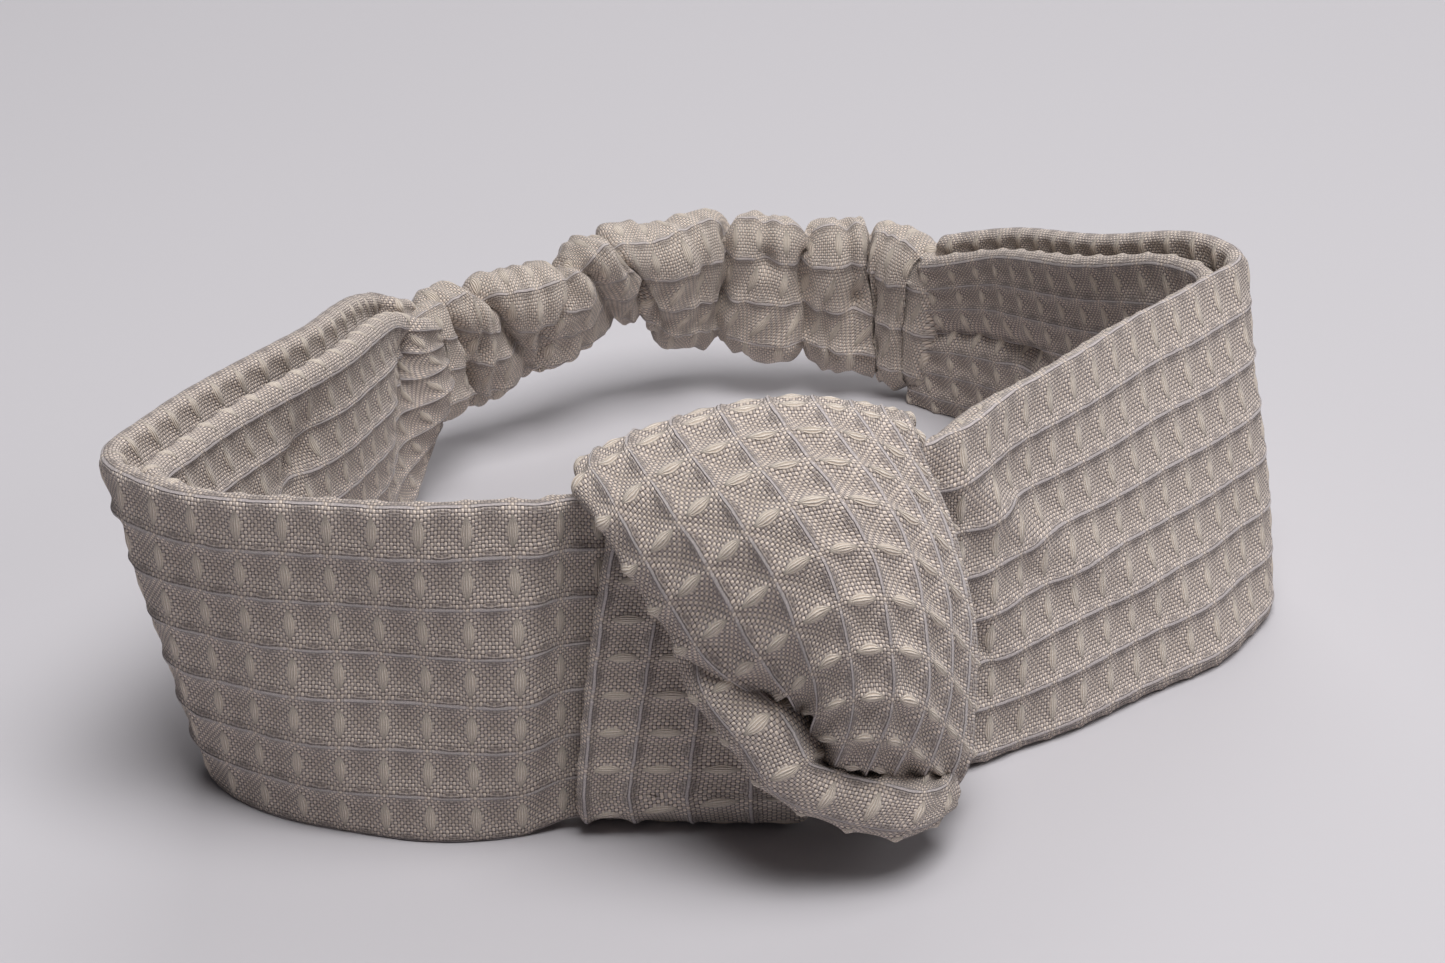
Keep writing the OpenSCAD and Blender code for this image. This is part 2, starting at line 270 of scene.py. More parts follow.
@dataclass
class PressedTube:
    """A sewn tube of waffle cloth pressed flat: two layers that meet in a rounded fold at each long edge.

    The weave is counted along the tube from the place called origin. At the folds the relief is flatter by
    the share called calm.
    """

    thickness: float
    length: float
    width: float
    closed: bool = False
    phase: tuple[float, float] = (0.0, 0.0)
    weave: Waffle = WAFFLE
    end_rings: int = 4
    calm: float = 0.6
    origin: float = 0.0

    def around(self) -> tuple[Array, Array, Array, Array]:
        """The profile: points up the front, over the top fold, down the back and under the lower fold.

        Returns:
            Places across the sheet, the number of each point's place, and how far each point stands from the
            sheet along its normal and along its width, in half thicknesses.
        """
        inset = self.thickness / 2 / self.width
        face = np.linspace(inset, 1 - inset, max(8, round((self.width - self.thickness) / self.weave.step)))
        m = len(face)
        k = max(4, round(math.pi * self.thickness / 2 / self.weave.step))
        bend = np.linspace(0, math.pi, k + 2)[1:-1]
        place = np.concatenate([np.arange(m), np.full(k, m - 1), np.arange(m)[::-1], np.full(k, 0)])
        off = np.concatenate([np.ones(m), np.cos(bend), -np.ones(m), -np.cos(bend)])
        rise = np.concatenate([np.zeros(m), np.sin(bend), np.zeros(m), -np.sin(bend)])
        return face, place, off, rise

    def surface(self, sheet: CentreSheet, puff: Puff | None = None) -> Surface:
        """The tube round a centre sheet, with its waffle relief.

        Each point is the sheet's point plus half a thickness along its normal or its width, as the profile
        says. At an open end the half thickness shrinks as the cosine of a quarter turn, while the tube grows
        by its sine, so the two layers meet. The puff and the relief, which is calmer round the folds, then
        move each point along the tube's own normal. Nothing sinks below the table.

        Args:
            sheet: Gives points for arrays of places along and across, each from 0 to 1.
            puff: Extra height for arrays of places along and around the tube, each from 0 to 1.

        Returns:
            The finished grid.
        """
        face, place, off, rise = self.around()
        n = max(8, round(self.length / self.weave.step))
        s = np.linspace(0, 1, n, endpoint=not self.closed)
        centre = sheet(s, face)
        if self.closed:
            along = np.roll(centre, -1, 0) - np.roll(centre, 1, 0)
            runs = np.linalg.norm(np.roll(centre, -1, 0) - centre, axis=-1)
        else:
            along = np.gradient(centre, axis=0)
            runs = np.linalg.norm(np.diff(centre, axis=0, append=centre[-1:]), axis=-1)
        across = unit(np.gradient(centre, axis=1))
        normal = unit(np.cross(along, across))
        along = unit(along)
        far = np.cumsum(np.vstack([np.zeros_like(runs[:1]), runs[:-1]]), axis=0) / self.weave.cell_along

        far = far - far[round(self.origin * (n - 1))]
        ends = 0 if self.closed else self.end_rings
        turn = np.linspace(math.pi / 2, 0, ends + 1)[:-1]
        keep = np.concatenate([np.arange(n)[:1].repeat(ends), np.arange(n), np.full(ends, n - 1)])
        shrink = np.concatenate([np.cos(turn), np.ones(n), np.cos(turn[::-1])])[:, None, None]
        shift = np.concatenate([-np.sin(turn), np.zeros(n), np.sin(turn[::-1])])[:, None, None]
        half = self.thickness / 2
        stand = normal[:, place] * off[:, None] + across[:, place] * rise[:, None]
        points = centre[keep][:, place] + stand[keep] * half * shrink + along[keep][:, place] * half * shift

        lap = np.linalg.norm(np.roll(points, -1, 1) - points, axis=-1).mean(0)
        v = np.concatenate([[0], np.cumsum(lap)]) / self.weave.cell_across + self.phase[1]
        u = far[keep][:, place] + shift[:, :, 0] * half / self.weave.cell_along + self.phase[0]
        height = self.weave.relief(u, v[:-1]) * (1 - self.calm * np.abs(rise))
        if puff is not None:
            height = height + puff(s[keep], (v[:-1] - v[0]) / (v[-1] - v[0]))
        points = points + self.normals(points, stand[keep]) * (height * shrink[:, :, 0])[..., None]
        points[..., 2] = np.maximum(points[..., 2], 0.0)
        cells = np.stack([np.hstack([u, u[:, :1]]), np.broadcast_to(v, (len(u), len(v)))], -1)
        if self.closed:
            wrapped = cells[:1].copy()
            wrapped[..., 0] += (far[-1] + runs[-1] / self.weave.cell_along).mean()
            cells = np.concatenate([cells, wrapped])
        return Surface(points, cells, self.closed)

    def normals(self, points: Array, stand: Array) -> Array:
        """Normals of a grid that closes round its second axis, on the side that stand points to.

        Args:
            points: The grid.
            stand: Directions out of the tube.

        Returns:
            One unit vector for each point.
        """
        down = np.roll(points, -1, 0) - np.roll(points, 1, 0) if self.closed else np.gradient(points, axis=0)
        side = np.roll(points, -1, 1) - np.roll(points, 1, 1)
        found = unit(np.cross(down, side))
        return found * np.where((found * stand).sum(-1, keepdims=True) < 0, -1, 1)


# ---------------------------------------------------------------------------------------------- the loop
class Side(Enum):
    """Which strip, with the turn that makes its level normal point out of the loop."""

    LEFT = -1
    RIGHT = 1


class Layer(Enum):
    """Which ply of a strip, counted from the outside of the loop."""

    OUTER = 0
    INNER = 1


@dataclass(frozen=True)
class Loop:
    """Sizes that every piece shares, and the guides that its cloth follows.

    A guide's row is x and y of the lower edge in percent of the half width and half depth, the same for the
    upper edge, then both edges' heights in percent of the strip's or the casing's height.
    """

    half_w: float = 0.0865
    half_d: float = 0.088
    strip_h: float = 0.054
    casing_h: float = 0.034
    ply_t: float = 0.0032
    ply_gap: float = 0.0014
    join_gap: float = 0.0016
    inner_drop: float = 0.003
    centre: tuple[float, float] = (-0.0011, 0.0065)
    left_guide: tuple[tuple[float, ...], ...] = (
        (12, -91, 12, -95, 6, 95),
        (-22, -91, -22, -96, 4, 98),
        (-34, -94, -32, -101, 0, 100),
        (-53, -94, -52, -101, 0, 100),
        (-70, -89, -75, -98, 0, 100),
        (-82, -81, -92, -92, 0, 100),
        (-87, -69, -99, -79, 0, 100),
        (-84, -50, -94, -60, 0, 98),
        (-79, -23, -80, -28, 0, 95),
        (-74, 5, -72, 2, 0, 87),
        (-71, 27, -70, 27, 6, 74),
        (-65, 43, -65, 41, 20, 63),
    )
    right_guide: tuple[tuple[float, ...], ...] = (
        (20, -80, 20, -82, 8, 97),
        (33, -76, 30, -78, 3, 99),
        (46, -69, 39, -71, 0, 100),
        (58, -60, 50, -54, 0, 100),
        (77, -45, 69, -29, 0, 100),
        (92, -31, 82, -11, 0, 100),
        (100, -16, 92, 1, 0, 100),
        (100, 4, 93, 13, 0, 100),
        (91, 28, 86, 24, 0, 97),
        (76, 53, 73, 42, 0, 85),
        (60, 75, 60, 67, 0, 72),
        (45, 89, 46, 81, 0, 61),
    )
    casing_guide: tuple[tuple[float, ...], ...] = (
        (-56, 57, -53, 49, 30, 100),
        (-47, 65, -42, 54, 35, 97),
        (-36, 72, -32, 61, 46, 100),
        (-22, 82, -24, 68, 58, 106),
        (-14, 87, -15, 77, 36, 103),
        (-2, 90, -1, 86, 25, 106),
        (13, 90, 13, 87, 17, 103),
        (26, 90, 26, 88, 9, 103),
        (34, 91, 34, 87, 5, 101),
    )

    @property
    def stack_t(self) -> float:
        """Thickness of a strip's two plies and the room between them."""
        return 2 * self.ply_t + self.ply_gap

    def place(self, x: Array, y: Array, z: Array) -> Array:
        """Points from percentages of the half width, the half depth and the strip's height."""
        return np.stack(
            [
                x / 100 * self.half_w + self.centre[0],
                y / 100 * self.half_d + self.centre[1],
                z / 100 * self.strip_h,
            ],
            -1,
        )

    def rows(self, guide: Sequence[Sequence[float]], height: float) -> Array:
        """A guide's rows in metres: its lower points and its upper points.

        Args:
            guide: The guide in percentages.
            height: The full height that its last two columns are percentages of.

        Returns:
            An array of rows, then lower and upper, then x, y and z.
        """
        g = np.array(guide, float)
        tall = height / self.strip_h
        low = self.place(g[:, 0], g[:, 1], g[:, 4] * tall)
        top = self.place(g[:, 2], g[:, 3], g[:, 5] * tall)
        return np.stack([low, top], 1)

    def strip(self, side: Side) -> Array:
        """A strip's rows in metres, from inside the knot to its join with the casing."""
        return self.rows(self.left_guide if side is Side.LEFT else self.right_guide, self.strip_h)

    def edges(self, rows: Array, u: Array) -> tuple[Array, Array]:
        """Lower and upper edge at u, with the lower one no deeper than the table.

        Args:
            rows: A guide's rows in metres.
            u: Places along it.

        Returns:
            Two arrays of points.
        """
        found = row_at(rows, u)
        low, top = found[:, 0].copy(), found[:, 1]
        low[:, 2] = np.maximum(low[:, 2], 0)
        return low, top

    def normal(self, rows: Array, u: Array, side: Side) -> Array:
        """Level direction out of the loop at u: the run of the middle line, turned a quarter.

        Args:
            rows: A guide's rows in metres.
            u: Places along it.
            side: Which way the guide runs round the loop.

        Returns:
            Unit vectors.
        """
        run = sum(self.edges(rows, u + 0.01)) - sum(self.edges(rows, u - 0.01))
        return unit(np.stack([run[:, 1], -run[:, 0], np.zeros(len(u))], -1)) * side.value

    def join_row(self, side: Side) -> Array:
        """Row of the casing that starts at a strip's end: its middle, moved on by the join's gap."""
        rows = self.strip(side)
        end = np.array([1.0])
        run = sum(self.edges(rows, end))[0] - sum(self.edges(rows, end - 0.02))[0]
        run[2] = 0
        shift = unit(run) * self.join_gap - self.normal(rows, end, side)[0] * self.stack_t / 2
        return np.stack([e[0] + shift for e in self.edges(rows, end)])

    def casing(self) -> Array:
        """The casing's rows in metres, from the left strip's end to the right one's."""
        middle = self.rows(self.casing_guide, self.casing_h)
        return np.concatenate([self.join_row(Side.LEFT)[None], middle, self.join_row(Side.RIGHT)[None]])


LOOP = Loop()


@dataclass(frozen=True)
class Fold:
    """A soft dent or bulge in a sheet: a bell shape at a place, turned by a slant, with its own depth."""

    along: float
    up: float
    reach_along: float
    reach_up: float
    depth: float
    slant: float = 0.0

    def height(self, s: Array, c: Array) -> Array:
        """Offset of the sheet along its normal.

        Args:
            s: Places along the sheet.
            c: Places across it.

        Returns:
            Offsets in metres, negative into the loop.
        """
        x, y = s - self.along, c - self.up
        x = x - y * self.slant
        return self.depth * np.exp(-((x / self.reach_along) ** 2) - (y / self.reach_up) ** 2)


FOLDS: dict[Side, tuple[Fold, ...]] = {
    Side.LEFT: (
        Fold(0.705, 0.72, 0.016, 0.13, 0.0026, 0.1),
        Fold(0.760, 0.62, 0.030, 0.30, -0.0014),
        Fold(0.880, 0.70, 0.014, 0.16, 0.0022, 0.08),
        Fold(0.925, 0.84, 0.013, 0.20, 0.0034, 0.05),
        Fold(0.960, 0.45, 0.050, 0.30, -0.0036),
    ),
    Side.RIGHT: (
        Fold(0.230, 0.66, 0.030, 0.36, 0.0013, -0.36),
        Fold(0.150, 0.45, 0.018, 0.16, -0.0009, -0.2),
        Fold(0.870, 0.50, 0.020, 0.07, 0.0030),
        Fold(0.930, 0.52, 0.060, 0.05, 0.0022),
        Fold(0.800, 0.35, 0.040, 0.20, -0.0012),
    ),
}


@dataclass
class Strip:
    """One fabric strip of the headband, with an outer and an inner ply of pressed tube."""

    side: Side
    folds: tuple[Fold, ...] = ()
    bow: float = 0.0007
    wave: float = 0.0006
    loop: Loop = LOOP
    rows: Array = field(init=False)

    def __post_init__(self) -> None:
        """Works out the strip's guide rows once."""
        self.rows = self.loop.strip(self.side)

    @property
    def length(self) -> float:
        """Length of the strip's middle line."""
        low, top = self.loop.edges(self.rows, np.linspace(0, 1, 200))
        return float(np.linalg.norm(np.diff((low + top) / 2, axis=0), axis=1).sum())

    def centre_sheet(self, layer: Layer) -> CentreSheet:
        """The middle of a ply: ruled from the strip's lower edge to its upper one, set in by the plies that
        lie outside it, then bowed, waved and folded along the strip's level normal.

        Args:
            layer: Which ply.

        Returns:
            The sheet as a function of places along and across.
        """
        inset = layer.value * (self.loop.ply_t + self.loop.ply_gap) + self.loop.ply_t / 2
        drop = layer.value * self.loop.inner_drop
        seed = 11 + self.side.value

        def sheet(s: Array, c: Array) -> Array:
            low, top = self.loop.edges(self.rows, s)
            top = top - unit(top - low) * drop
            normal = self.loop.normal(self.rows, s, self.side)
            ss, cc = np.meshgrid(s, c, indexing="ij")
            offset = self.bow * np.sin(math.pi * cc) - inset
            offset = offset + self.wave * ripple(ss * 5, cc * 1.1, seed) * smoothstep(ss, 0.08, 0.2)
            for fold in self.folds:
                offset = offset + fold.height(ss, cc)
            return low[:, None] + (top - low)[:, None] * cc[..., None] + normal[:, None] * offset[..., None]

        return sheet

    def make_ply(self, layer: Layer, phase: tuple[float, float]) -> bpy.types.Object:
        """Builds one ply and hides the CAD ply that it stands for.

        Args:
            layer: Which ply.
            phase: Where the weave starts, in cells along and across.

        Returns:
            The new piece.
        """
        side, ply = self.side.name.lower(), layer.name.lower()
        tube = PressedTube(self.loop.ply_t, self.length, self.loop.strip_h, phase=phase)
        piece = tube.surface(self.centre_sheet(layer)).mesh_object(f"{side}_strip_{ply}_ply_cloth")
        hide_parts(f"{side}_strip_{ply}_ply")
        bend_with_stretch(piece)
        self.length
        return piece


def bend_with_stretch(piece: bpy.types.Object) -> None:
    """Bakes a strip's piece's transform into its mesh, leaving it at the origin.

    Args:
        piece: A piece with no parent.
    """
    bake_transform(piece)


# ---------------------------------------------------------------------------------------------- the knot
@dataclass
class UprightBend:
    """The right strip's bend: a band of cloth that stands upright round both plies of the left strip."""

    thickness: float = 0.0026
    clear: float = 0.0014
    foot_clear: float = 0.0003
    left_end: float = 0.102
    lean: float = 0.034
    width: float = 0.034
    spare: float = 0.012
    loop: Loop = LOOP

    def sheet(self, s: Array, c: Array) -> Array:
        """The band's middle: a flattened ring round the strip's section, carried along the strip.

        Args:
            s: Places round the ring, from the foot up the front and down the back.
            c: Places along the strip, from the band's hidden edge to the one that shows.

        Returns:
            A grid of points.
        """
        rows = self.loop.strip(Side.LEFT)
        height = 1 - np.abs(1 - 2 * s)
        u = (c[None] * (self.left_end - self.lean * height[:, None])).reshape(-1)
        low, top = self.loop.edges(rows, u)
        normal = self.loop.normal(rows, u, Side.LEFT)
        up = unit(top - low)
        half_t = self.loop.stack_t / 2 + self.clear + self.thickness / 2
        foot = low.copy()
        foot[:, 2] = self.thickness / 2 + self.foot_clear
        head = top + up * (self.clear + self.thickness / 2)
        middle = (foot + head) / 2 - normal * self.loop.stack_t / 2
        half_h = (head - foot) / 2
        tall = np.linalg.norm(half_h, axis=1)
        around = np.repeat(s, len(c))
        rise, out = stadium(around, tall, np.full_like(tall, half_t))
        grid = middle + normal * out[:, None] + unit(half_h) * rise[:, None]
        return grid.reshape(len(s), len(c), 3)

    def make(self) -> bpy.types.Object:
        """Builds the band, which rides with the knot.

        Returns:
            The new piece.
        """
        length = 2 * self.loop.strip_h + self.spare
        tube = PressedTube(self.thickness, length, self.width, closed=True, phase=(0.3, 0.25))
        piece = tube.surface(self.sheet).mesh_object("right_strip_upright_bend")
        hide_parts("right_strip_knot_bend")
        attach(piece, FRONT)
        return piece


@dataclass
class DiagonalBend:
    """The left strip's bend: a broad lobe that falls slantwise over the right strip, and its rolled lip.

    The net's rows run from the crease above the lip up the front, over the ridge and down the back. Its
    columns run from the left fold to the right edge. The lip's rows run from its upper left end to its lower
    right one, and its columns from its inner edge, under the lobe, to its outer one. Each point is x, y and z
    in percent.
    """

    thickness: float = 0.003
    width: float = 0.056
    length: float = 0.126
    lip_thickness: float = 0.005
    lip_width: float = 0.012
    lip_length: float = 0.056
    lip_relief: float = 0.0009
    lip_calm: float = 0.8
    ridge: float = 7 / 12
    drawn: Waffle = Waffle(cell_along=0.0066, cell_across=0.0060, depth=0.0015, spindle=0.00035)
    loop: Loop = LOOP
    net: tuple[tuple[tuple[float, float, float], ...], ...] = (
        ((6, -99, 48), (13, -101, 42), (16, -103, 29), (23, -101, 25), (31, -94, 17), (36, -84, 7)),
        ((5, -104, 54), (12, -109, 54), (17, -112, 45), (24, -109, 40), (33, -99, 30), (38, -85, 16)),
        ((1, -106, 57), (10, -112, 62), (18, -115, 62), (27, -112, 59), (34, -100, 48), (38, -84, 30)),
        ((-6, -107, 64), (5, -113, 75), (16, -115, 81), (26, -111, 79), (34, -99, 68), (38, -83, 46)),
        ((-11, -107, 76), (1, -112, 87), (13, -113, 94), (24, -108, 92), (32, -97, 82), (36, -82, 63)),
        ((-16, -107, 90), (-4, -109, 98), (8, -109, 104), (20, -104, 103), (29, -93, 93), (34, -81, 78)),
        ((-20, -105, 101), (-10, -104, 106), (2, -100, 110), (15, -96, 110), (25, -89, 103), (31, -79, 90)),
        ((-23, -100, 104), (-14, -95, 109), (-2, -89, 113), (11, -85, 113), (22, -82, 108), (29, -77, 101)),
        ((-22, -88, 100), (-12, -82, 103), (0, -77, 104), (12, -73, 104), (23, -71, 101), (29, -68, 97)),
        ((-19, -80, 82), (-9, -75, 84), (2, -69, 85), (14, -64, 84), (26, -62, 82), (32, -60, 80)),
        ((-16, -80, 55), (-6, -74, 56), (5, -68, 56), (17, -62, 55), (28, -59, 54), (34, -57, 53)),
        ((-13, -82, 28), (-3, -76, 27), (8, -70, 26), (19, -64, 25), (30, -61, 24), (35, -59, 24)),
        ((-8, -86, 12), (1, -80, 10), (11, -75, 9), (21, -69, 8), (31, -66, 8), (36, -64, 8)),
    )
    lip: tuple[tuple[tuple[float, float, float], ...], ...] = (
        ((-2, -100, 56), (-4, -104, 61), (-7, -104, 62)),
        ((4, -101, 49), (0, -108, 55), (-5, -105, 52)),
        ((13, -102, 43), (6, -112, 48), (0, -107, 41)),
        ((15, -103, 31), (10, -113, 37), (6, -108, 30)),
        ((19, -103, 27), (16, -112, 31), (14, -108, 22)),
        ((26, -101, 24), (24, -110, 26), (22, -107, 16)),
        ((30, -98, 21), (29, -106, 22), (28, -104, 13)),
        ((34, -94, 16), (34, -98, 18), (33, -97, 15)),
    )

    def sheet_of(self, net: Sequence[Sequence[Sequence[float]]]) -> CentreSheet:
        """The middle of a piece: Catmull-Rom along each of its net's rows, then from row to row.

        Args:
            net: Rows of points in percent.

        Returns:
            The sheet as a function of places from row to row and along a row.
        """
        knots = np.array(net, float)
        points = self.loop.place(knots[..., 0], knots[..., 1], knots[..., 2])

        def sheet(s: Array, c: Array) -> Array:
            across = row_at(np.moveaxis(points, 1, 0), c)
            return row_at(np.moveaxis(across, 1, 0), s)

        return sheet

    def make_lobe(self) -> bpy.types.Object:
        """Builds the lobe, which rides with the knot.

        Returns:
            The new piece.
        """
        tube = PressedTube(
            self.thickness, self.length, self.width, phase=(0.1, 0.5), weave=self.drawn, origin=self.ridge
        )
        piece = tube.surface(self.sheet_of(self.net)).mesh_object("left_strip_diagonal_bend")
        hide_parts("left_strip_knot_bend")
        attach(piece, FRONT)
        self.length
        return piece

    def make_lip(self) -> bpy.types.Object:
        """Builds the rolled lip: a fold of the strip that turns out from under the lobe's lower end.

        The lip is a fuller tube round a net of its own, with flatter relief. Its flat cloth is wider than its
        net by the thickness of the roll.

        Returns:
            The new piece.
        """
        tube = PressedTube(
            self.lip_thickness,
            self.lip_length,
            self.lip_width,
            phase=(0.2, 0.1),
            weave=replace(self.drawn, depth=self.lip_relief),
            calm=self.lip_calm,
        )
        piece = tube.surface(self.sheet_of(self.lip)).mesh_object("left_strip_rolled_lip")
        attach(piece, FRONT)
        return piece


# ---------------------------------------------------------------------------------------------- the back
@dataclass(frozen=True)
class Crease:
    """A valley across the casing: its place along, its lean on the way up, its half width and its depth."""

    at: float
    lean: float
    width: float
    depth: float


@dataclass(frozen=True)
class Pocket:
    """A small deep hollow where creases meet: its places along and up, and its depth."""

    at: float
    up: float
    depth: float


@dataclass
class RuchedCasing:
    """The casing at the back: a tube of the same cloth, gathered on its elastic into soft puffs."""

    thickness: float = 0.011
    width: float = 0.026
    length: float = 0.118
    fullness: float = 1.1
    puff_depth: float = 0.0018
    puff_reach: float = 0.026
    wrinkle: float = 0.00045
    wander: float = 0.006
    unevenness: float = 0.25
    shake: float = 0.0005
    end_reach: float = 0.05
    end_share: float = 0.3
    end_sink: float = 0.0014
    creases: tuple[Crease, ...] = (
        Crease(0.055, -0.07, 0.012, 0.0026),
        Crease(0.165, -0.12, 0.013, 0.0026),
        Crease(0.265, 0.08, 0.010, 0.0016),
        Crease(0.335, -0.08, 0.014, 0.0024),
        Crease(0.415, -0.03, 0.008, 0.0036),
        Crease(0.605, 0.01, 0.007, 0.0036),
        Crease(0.720, 0.02, 0.007, 0.0034),
        Crease(0.850, -0.02, 0.007, 0.0034),
    )
    pleats: tuple[Crease, ...] = (
        Crease(0.470, 0.05, 0.016, 0.0009),
        Crease(0.535, -0.03, 0.013, 0.0008),
        Crease(0.655, 0.04, 0.010, 0.0009),
        Crease(0.790, -0.05, 0.012, 0.0012),
        Crease(0.910, 0.03, 0.010, 0.0012),
        Crease(0.110, 0.02, 0.010, 0.0009),
    )
    pockets: tuple[Pocket, ...] = (
        Pocket(0.415, 0.22, 0.0020),
        Pocket(0.605, 0.20, 0.0020),
        Pocket(0.668, 0.45, 0.0026),
        Pocket(0.722, 0.35, 0.0020),
        Pocket(0.805, 0.28, 0.0028),
        Pocket(0.085, 0.15, 0.0022),
    )
    crease_calm: float = 0.72
    pocket_reach: tuple[float, float] = (0.014, 0.07)
    loop: Loop = LOOP
    weave: Waffle = Waffle(cell_along=0.0046, cell_across=0.0074, depth=0.0005, spindle=0.00022)

    def sheet(self, s: Array, c: Array) -> Array:
        """The casing's middle: ruled between its edges, and shaken from side to side by the gathers.

        Args:
            s: Places from the left join to the right one.
            c: Places from the lower edge to the upper one.

        Returns:
            A grid of points.
        """
        rows = self.loop.casing()
        low, top = self.loop.edges(rows, s)
        normal = self.loop.normal(rows, s, Side.LEFT)
        ss, cc = np.meshgrid(s, c, indexing="ij")
        shake = self.shake * ripple(ss * 9, cc * 0.8, 5) * np.sin(math.pi * ss) ** 0.5
        return low[:, None] + (top - low)[:, None] * cc[..., None] + normal[:, None] * shake[..., None]

    def puff(self, s: Array, around: Array) -> Array:
        """Puffs between creases: each stands higher the further it is from the nearest crease.

        A crease is a bell-shaped valley along a leaning line that wanders a little, and a pleat is a
        shallow one on a puff. Both are shallower at the tube's top and foot. Pockets are deep hollows on
        them, and smaller wrinkles run between them. Near the joins all of it shrinks to the end share,
        and the surface sinks a little.

        Args:
            s: Places along.
            around: Places round the tube.

        Returns:
            Heights in metres.
        """
        ss, aa = np.meshgrid(s, around, indexing="ij")
        up = 1 - np.abs(1 - 2 * aa)
        near = np.full_like(ss, 1.0)
        valley = np.zeros_like(ss)
        for k, crease in enumerate(self.creases + self.pleats):
            line = crease.at + crease.lean * (up - 0.5) + self.wander * ripple(up * 2.0, 0 * up, 40 + k)
            far = np.abs(ss - line)
            if k < len(self.creases):
                near = np.minimum(near, far)
            uneven = 1 + self.unevenness * ripple(up * 1.5, 0 * up, 60 + k)
            valley += crease.depth * uneven * np.exp(-((far / crease.width) ** 1.4))
        valley *= 1 - self.crease_calm * (1 - np.sin(math.pi * up))
        for pocket in self.pockets:
            x, y = (ss - pocket.at) / self.pocket_reach[0], (up - pocket.up) / self.pocket_reach[1]
            valley += pocket.depth * np.exp(-x * x - y * y)
        valley = np.minimum(valley, 0.8 * self.thickness / 2 - self.puff_depth / 2)
        arch = self.puff_depth * (0.5 - np.exp(-near / self.puff_reach))
        small = self.wrinkle * ripple(ss * 24, aa * 5, 31) * (1 - 0.4 * up)
        ends = smoothstep(ss, 0, self.end_reach) * smoothstep(1 - ss, 0, self.end_reach)
        share = self.end_share + (1 - self.end_share) * ends
        return (arch - valley + small) * share - self.end_sink * (1 - ends)

    def make(self) -> bpy.types.Object:
        """Builds the casing, which slides with the back.

        Returns:
            The new piece.
        """
        tube = PressedTube(self.thickness, self.length, self.width, weave=self.weave)
        piece = tube.surface(self.sheet, self.puff).mesh_object("ruched_casing_cloth")
        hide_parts("elastic_casing")
        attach(piece, BACK)
        flat = (self.loop.casing_h, self.length * self.fullness)
        return piece


@dataclass
class StripSeam:
    """The stitches that close a strip's tube, in the gap between its two plies."""

    side: Side
    thread: float = 0.0007
    pitch: float = 0.0035
    share: float = 0.6
    start: float = 0.2
    span: float = 0.76
    loop: Loop = LOOP

    def make(self) -> bpy.types.Object:
        """Builds every stitch as a short round thread along the seam's line.

        Returns:
            The new piece.
        """
        rows = self.loop.strip(self.side)
        length = Strip(self.side).length
        count = round(length * self.span / self.pitch)
        starts = self.start + self.span * np.arange(count) / count
        reach = self.span * self.share / count
        steps, sides = 4, 8
        u = (starts[:, None] + reach * np.linspace(0, 1, steps)).reshape(-1)
        low, top = self.loop.edges(rows, u)
        normal = self.loop.normal(rows, u, self.side)
        line = (low + top) / 2 - normal * (self.loop.ply_t + self.loop.ply_gap / 2)
        turn = 2 * math.pi * np.arange(sides) / sides
        up = unit(top - low)
        ring = normal[:, None] * np.cos(turn)[None, :, None] + up[:, None] * np.sin(turn)[None, :, None]
        points = (line[:, None] + ring * self.thread / 2).reshape(count, steps * sides, 3)
        i, j = np.meshgrid(np.arange(steps - 1), np.arange(sides), indexing="ij")
        quad = np.stack([i * sides + j, i * sides + (j + 1) % sides], -1)
        walls = np.concatenate([quad, (quad + sides)[..., ::-1]], -1).reshape(-1, 4)
        first, last = list(range(sides))[::-1], list(range((steps - 1) * sides, steps * sides))
        faces = []
        for k in range(count):
            base = k * steps * sides
            faces += (walls + base).tolist() + [[f + base for f in first], [f + base for f in last]]
        mesh = bpy.data.meshes.new("stitches")
        mesh.from_pydata(points.reshape(-1, 3), [], faces)
        work = bmesh.new()
        work.from_mesh(mesh)
        bmesh.ops.recalc_face_normals(work, faces=work.faces[:])
        work.to_mesh(mesh)
        work.free()
        name = f"{self.side.name.lower()}_strip_seam"
        piece = bpy.data.objects.new(f"{name}_stitches", mesh)
        bpy.context.scene.collection.objects.link(piece)
        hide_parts(f"{name}_thread")
        bend_with_stretch(piece)
        return piece


# ---------------------------------------------------------------------------------------------- finishes
Colour = tuple[float, float, float]


def linear(r: int, g: int, b: int) -> Colour:
    """A screen colour of 0 to 255 as the linear colour that shaders take."""
    return tuple(c / 255 / 12.92 if c <= 10 else ((c / 255 + 0.055) / 1.055) ** 2.4 for c in (r, g, b))


